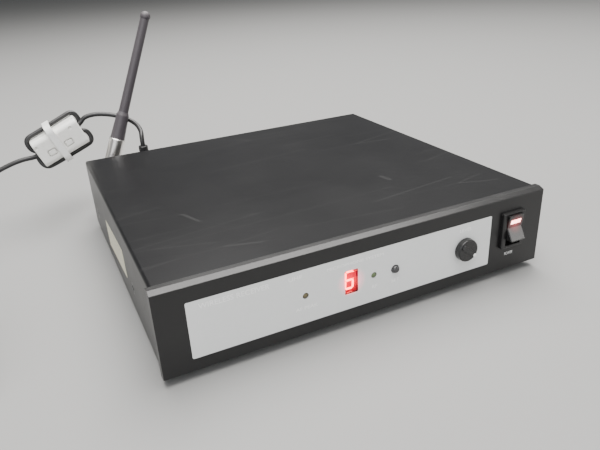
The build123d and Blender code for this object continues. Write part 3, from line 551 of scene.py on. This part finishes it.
grey_film = finish(
    "grey legend film",
    (0.74, 0.75, 0.745),
    0.42,
    Grain_Size=0.00035,
    Grain_Depth=0.000008,
    Edge_Radius=0.0001,
    Dust=0.05,
    Cloudiness=0.06,
)
wear(grey_film, "legend_plate")
white_ink = finish(
    "white ink",
    (0.96, 0.96, 0.95),
    0.5,
    Grain_Size=0.0002,
    Grain_Depth=0.000004,
    Edge_Radius=0.00001,
)


capital_share = 0.72
ink_thickness = 0.00001


def lettering(name, words, x, y, z, height, width=1.0, turned=0.0):
    """Printed words on a face that looks along Y: a thin raised film of white ink."""
    text = bpy.data.curves.new(name, "FONT")
    text.body = words
    text.size = height / capital_share
    text.extrude = ink_thickness
    text.align_x = "CENTER"
    text.align_y = "CENTER"
    draft = bpy.data.objects.new(name + "_draft", text)
    bpy.context.scene.collection.objects.link(draft)
    bpy.context.view_layer.update()
    evaluated = draft.evaluated_get(bpy.context.evaluated_depsgraph_get())
    mesh = bpy.data.meshes.new_from_object(evaluated)
    bpy.data.objects.remove(draft)
    mesh.transform(
        Matrix.Translation((x, y, z))
        @ Matrix.Rotation(turned, 4, "Z")
        @ Matrix.Rotation(math.pi / 2, 4, "X")
        @ Matrix.Diagonal((width, 1, 1, 1))
    )
    mesh.materials.clear()
    mesh.materials.append(white_ink)
    words_piece = bpy.data.objects.new(name, mesh)
    bpy.context.scene.collection.objects.link(words_piece)
    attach(words_piece, "case")


panel_left, panel_bottom = -0.105, 0.003
film_thickness = 0.00005
legend_y = face - film_thickness - ink_thickness
label_height = 0.0018


def on_panel(x, z):
    """X and Z of a point given from the panel's lower left corner."""
    return panel_left + x, panel_bottom + z


for name, words, x, z, height, stretch in (
    ("title_print", "WIRELESS RECEIVER", 0.0350, 0.0322, 0.0026, 1.0),
    ("band_print", "UHF", 0.0634, 0.0322, 0.0021, 1.25),
    ("type_print", "MICROPHONE SYSTEM", 0.0945, 0.0318, 0.0015, 1.45),
    ("peak_print", "AF PEAK", 0.0684, 0.0156, label_height, 1.2),
    ("rf_print", "RF", 0.1047, 0.0156, label_height, 1.2),
    ("set_print", "SET", 0.1166, 0.0156, label_height, 1.2),
    ("level_print", "LEVEL", 0.1588, 0.0318, label_height, 1.2),
):
    letter_x, letter_z = on_panel(x, z)
    lettering(name, words, letter_x, legend_y, letter_z, height, stretch)

letter_x, letter_z = on_panel(0.1896, 0.0103)
lettering("power_print", "POWER", letter_x, face - ink_thickness, letter_z, label_height, 0.66)

# ------------------------------------------------------------------ channel display
# A red filter window over a single seven-segment digit. The lit bars glow orange-red, nearly white
# at their centres. A painted red glow on the display body and on the film round the window stands in
# for their spill light.


def glowing(name, colour, strength, core):
    """A lit plastic: a glossy surface whose own light is strongest in fine cloudy cores."""
    material = finish(name, colour, 0.3, Grain_Size=0.0005, Grain_Depth=0.000005, Edge_Radius=0.0001)
    tree = material.node_tree
    surface = tree.nodes["Principled BSDF"]
    cores = clouds(tree, surface_place(tree), 900.0, 1.0)
    joined(tree, tinted(tree, cores, colour, core), surface.inputs["Emission Color"])
    surface.inputs["Emission Strength"].default_value = strength
    return material


def painted_glow(material, centre, reach, colour, strength):
    """Painted glow: emission that fades outwards over a surface round a lit piece, standing in for its
    stray lamp light.
    """
    tree = material.node_tree
    surface = tree.nodes["Principled BSDF"]
    away = tree.nodes.new("ShaderNodeVectorMath")
    away.operation = "DISTANCE"
    joined(tree, surface_place(tree), away.inputs[0])
    away.inputs[1].default_value = centre
    distance = arithmetic(tree, "DIVIDE", away.outputs["Value"], reach)
    near = arithmetic(tree, "SUBTRACT", 1.0, distance, clamp=True)
    surface.inputs["Emission Color"].default_value = (*colour, 1.0)
    joined(tree, product(tree, near, near, strength), surface.inputs["Emission Strength"])


lit_bar = glowing("lit segment", (1.0, 0.10, 0.05), 14.0, (1.0, 0.62, 0.5))
display_case = finish(
    "display body", (0.35, 0.02, 0.02), 0.5, Grain_Size=0.0004, Grain_Depth=0.00001
)
digit = nodes["digit_segments"]
digit.data.materials.clear()
digit.data.materials.append(lit_bar)
digit.data.materials.append(display_case)
window_x, window_z = on_panel(0.0921, 0.0219)
# The upper right bar stays dark, which makes the digit a six.
dark_left, dark_bottom, dark_top = window_x + 0.0012, window_z + 0.0001, window_z + 0.0036
for polygon in digit.data.polygons:
    if polygon.center.x > dark_left and dark_bottom < polygon.center.z < dark_top:
        polygon.material_index = 1
wear(display_case, "digit_display")
# The display body, its dark bar included, and the film round the window get a painted red glow,
# standing in for the lit digit's spill light.
painted_glow(display_case, (window_x, face + 0.003, window_z), 0.014, (1.0, 0.04, 0.22), 2.2)
painted_glow(grey_film, (window_x, face, window_z), 0.0085, (1.0, 0.04, 0.14), 4.5)

red_filter = bpy.data.materials.new("red filter")
red_filter.use_nodes = True
filter_tree = red_filter.node_tree
filter_surface = filter_tree.nodes["Principled BSDF"]
filter_surface.inputs["Transmission Weight"].default_value = 1.0
filter_surface.inputs["IOR"].default_value = 1.2
filter_tone = clouds(filter_tree, surface_place(filter_tree), 600.0, 2.0)
filter_colour = tinted(filter_tree, filter_tone, (1.0, 0.20, 0.20), (1.0, 0.26, 0.25))
joined(filter_tree, filter_colour, filter_surface.inputs["Base Color"])
filter_roughness = arithmetic(filter_tree, "MULTIPLY_ADD", filter_tone, 0.06, 0.02)
joined(filter_tree, filter_roughness, filter_surface.inputs["Roughness"])
wear(red_filter, "display_window")

# ------------------------------------------------------------------ indicator lamps
# Two 3 mm lamps, both off: an amber-brown peak lamp and a green carrier lamp, of tinted epoxy.

for name, tint, lamp_node in (
    ("amber lamp", (0.10, 0.08, 0.03), "af_led"),
    ("green lamp", (0.09, 0.13, 0.05), "rf_led"),
):
    epoxy = finish(name, tint, 0.15, coat=0.6, Grain_Size=0.0005, Grain_Depth=0.000003, Dust=0.02)
    wear(epoxy, lamp_node)

# ------------------------------------------------------------------ channel button
# A small domed push cap of glossy dark plastic over a tact switch.

button_plastic = finish(
    "button plastic", (0.03, 0.03, 0.032), 0.22, coat=0.5, Grain_Size=0.0006, Grain_Depth=0.000004
)
wear(button_plastic, "channel_button", "tact_plunger")
switch_plastic = finish(
    "switch plastic", (0.02, 0.02, 0.021), 0.5, Grain_Size=0.0004, Grain_Depth=0.00002
)
wear(switch_plastic, "tact_switch", "level_pot")

# ------------------------------------------------------------------ level knob
# A moulded black knob with a raised grip bar across it, and a white paint dot at the bar's end.

knob_plastic = finish(
    "knob plastic",
    (0.006, 0.006, 0.0065),
    0.28,
    coat=0.15,
    Grain_Size=0.0004,
    Grain_Depth=0.000008,
    Edge_Radius=0.0003,
)
wear(knob_plastic, "level_knob")
dot_paint = finish(
    "white dot paint",
    (0.85, 0.85, 0.83),
    0.35,
    Grain_Size=0.0003,
    Grain_Depth=0.000004,
    Edge_Radius=0.0001,
)
knob_x, knob_z = on_panel(0.1587, 0.0213)
pointer = math.radians(129.0)
dot_radius, dot_flatness, dot_reach = 0.0011, 0.4, 0.0045
dot_y = face - 0.00425
dot_mesh = bpy.data.meshes.new("pointer_dot")
dot_form = bmesh.new()
bmesh.ops.create_uvsphere(dot_form, u_segments=24, v_segments=12, radius=dot_radius)
for vertex in dot_form.verts:
    vertex.co.y *= dot_flatness
dot_place = (knob_x + dot_reach * math.sin(pointer), dot_y, knob_z + dot_reach * math.cos(pointer))
bmesh.ops.translate(dot_form, verts=dot_form.verts, vec=dot_place)
dot_form.to_mesh(dot_mesh)
dot_form.free()
for polygon in dot_mesh.polygons:
    polygon.use_smooth = True
dot_mesh.materials.append(dot_paint)
pointer_dot = bpy.data.objects.new("pointer_dot", dot_mesh)
bpy.context.scene.collection.objects.link(pointer_dot)
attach(pointer_dot, "level_knob")

# ------------------------------------------------------------------ power rocker
# A glossy black lit rocker in a snap-in housing. The lamp window in its upper end shines
# through a red lens, almost white in the middle.

housing_plastic = finish(
    "switch housing plastic",
    (0.007, 0.007, 0.0075),
    0.32,
    Grain_Size=0.0004,
    Grain_Depth=0.00001,
    Edge_Radius=0.0004,
)
wear(housing_plastic, "switch_housing")
rocker_plastic = finish(
    "rocker plastic",
    (0.010, 0.010, 0.0105),
    0.2,
    coat=0.4,
    Grain_Size=0.0006,
    Grain_Depth=0.000006,
    Edge_Radius=0.0005,
)
wear(rocker_plastic, "power_rocker")
lit_lens = glowing("lit rocker lens", (1.0, 0.12, 0.10), 9.0, (1.0, 0.75, 0.68))
wear(lit_lens, "rocker_lens")
lens_x, lens_z = on_panel(0.1896, 0.0289)
# A painted red glow on the rocker round its lens stands in for the lamp's spill light.
painted_glow(rocker_plastic, (lens_x, face - 0.0033, lens_z), 0.0062, (1.0, 0.10, 0.12), 0.7)
tin = finish("tinned brass", (0.66, 0.65, 0.62), 0.3, plated, metallic=1.0, Tarnish=0.5)
wear(tin, "switch_terminals", "rf_shield", "rf_shield_lid")

# ------------------------------------------------------------------ boards inside
# Green glass-fibre boards with their parts: chips, capacitors, a regulator on its heatsink and the
# tinned screening can over the radio stage.

solder_mask = finish(
    "green solder mask",
    (0.02, 0.12, 0.045),
    0.35,
    Grain_Size=0.0018,
    Grain_Depth=0.00004,
    Cloudiness=0.5,
)
wear(solder_mask, "main_board", "display_board")
chip_epoxy = finish("chip epoxy", (0.02, 0.02, 0.021), 0.6, Grain_Size=0.0004, Grain_Depth=0.00002)
wear(chip_epoxy, "board_chips", "regulator")
can_sleeve = finish(
    "capacitor sleeve", (0.02, 0.03, 0.09), 0.3, Grain_Size=0.001, Grain_Depth=0.00001
)
wear(can_sleeve, "capacitors")
bare_aluminium = finish(
    "bare aluminium", (0.62, 0.62, 0.63), 0.35, plated, metallic=1.0, Tarnish=0.15
)
wear(bare_aluminium, "heatsink")
turned_brass = finish("turned brass", (0.72, 0.55, 0.25), 0.28, plated, metallic=1.0, Tarnish=0.3)
wear(turned_brass, "board_standoffs", "antenna_core")
wear(switch_plastic, "display_board_spacers")
ribbon_jacket = finish(
    "grey ribbon", (0.38, 0.39, 0.40), 0.5, Grain_Size=0.0012, Grain_Depth=0.0001
)
wear(ribbon_jacket, "ribbon_cable")

# ------------------------------------------------------------------ rear connectors
# A bayonet antenna jack, a coaxial DC jack, a phone jack and a three-pin XLR, named in white ink.

wear(nickel, "bnc_jack", "bnc_nut", "bnc_coupling", "phone_jack_nut", "xlr_pins", "xlr_shell")
connector_plastic = finish(
    "connector plastic", (0.016, 0.016, 0.017), 0.4, Grain_Size=0.0005, Grain_Depth=0.00002
)
wear(connector_plastic, "dc_jack", "phone_jack", "xlr_insert")
rear_y = face + 0.19064
rear_label_height = 0.0020
for name, words, x, z in (
    ("antenna_print", "ANTENNA", 0.0155, 0.0345),
    ("dc_print", "DC IN 12V", 0.0415, 0.0345),
    ("phone_print", "UNBALANCED", 0.1120, 0.0345),
    ("balanced_print", "BALANCED", 0.1760, 0.0300),
):
    letter_x, letter_z = on_panel(x, z)
    lettering(name, words, letter_x, rear_y, letter_z, rear_label_height, 1.1, turned=math.pi)

# ------------------------------------------------------------------ antenna
# A swivelling nickel-plated elbow on the bayonet ring, and a tapered rubber whip moulded over the
# radiator, with a ball at its tip.

wear(nickel, "antenna_elbow")
whip_rubber = finish(
    "whip rubber",
    (0.064, 0.055, 0.064),
    0.40,
    Grain_Size=0.0006,
    Grain_Depth=0.00003,
    Edge_Radius=0.0003,
    Dust=0.25,
)
wear(whip_rubber, "antenna_cover")

# ------------------------------------------------------------------ adapter
# A plug-in mains adapter: a black box moulding with rounded edges, its cord's grommet at one end
# and two flat plated blades.

adapter_moulding = finish(
    "adapter moulding",
    (0.016, 0.016, 0.017),
    0.5,
    Grain_Size=0.0009,
    Grain_Depth=0.00005,
    Edge_Radius=0.0005,
    Dust=0.15,
)
wear(adapter_moulding, "adapter_case")
wear(nickel, "adapter_prongs")

# ------------------------------------------------------------------ floor and light
# A plain pale floor under a wide soft overhead light, with a weaker fill from the front left
# and a small light from the front right, which gives the rocker its sheen.

floor_mesh = bpy.data.meshes.new("floor")
floor_form = bmesh.new()
bmesh.ops.create_grid(floor_form, x_segments=1, y_segments=1, size=12.0)
floor_form.to_mesh(floor_mesh)
floor_form.free()
floor_material = bpy.data.materials.new("floor")
floor_material.use_nodes = True
floor_surface = floor_material.node_tree.nodes["Principled BSDF"]
floor_surface.inputs["Base Color"].default_value = (0.27, 0.27, 0.265, 1)
floor_surface.inputs["Roughness"].default_value = 0.8
floor_mesh.materials.append(floor_material)
floor = bpy.data.objects.new("floor", floor_mesh)
floor.location.z = -0.0002
bpy.context.scene.collection.objects.link(floor)


def soft_light(name, where, aim, size, power, colour, length=None):
    """A rectangular soft box that points at its aim."""
    data = bpy.data.lights.new(name, "AREA")
    data.shape = "RECTANGLE"
    data.size = size
    data.size_y = length or size
    data.energy = power
    data.color = colour
    lamp = bpy.data.objects.new(name, data)
    lamp.location = where
    lamp.rotation_euler = (Vector(aim) - Vector(where)).to_track_quat("-Z", "Y").to_euler()
    bpy.context.scene.collection.objects.link(lamp)


soft_light("overhead", (0.1, 0.15, 1.3), (0, 0, 0), 1.1, 76.0, (1.0, 0.98, 0.96), length=2.0)
soft_light("front_fill", (-0.7, -1.0, 0.7), (0, 0, 0.03), 1.3, 13.0, (0.96, 0.98, 1.0))
soft_light("right_sheen", (0.9, -1.0, 0.35), (0.08, -0.1, 0.03), 0.5, 3.0, (1.0, 0.98, 0.95))

world = bpy.data.worlds.new("studio")
world.use_nodes = True
world.node_tree.nodes["Background"].inputs["Color"].default_value = (0.75, 0.77, 0.78, 1)
world.node_tree.nodes["Background"].inputs["Strength"].default_value = 0.26
bpy.context.scene.world = world
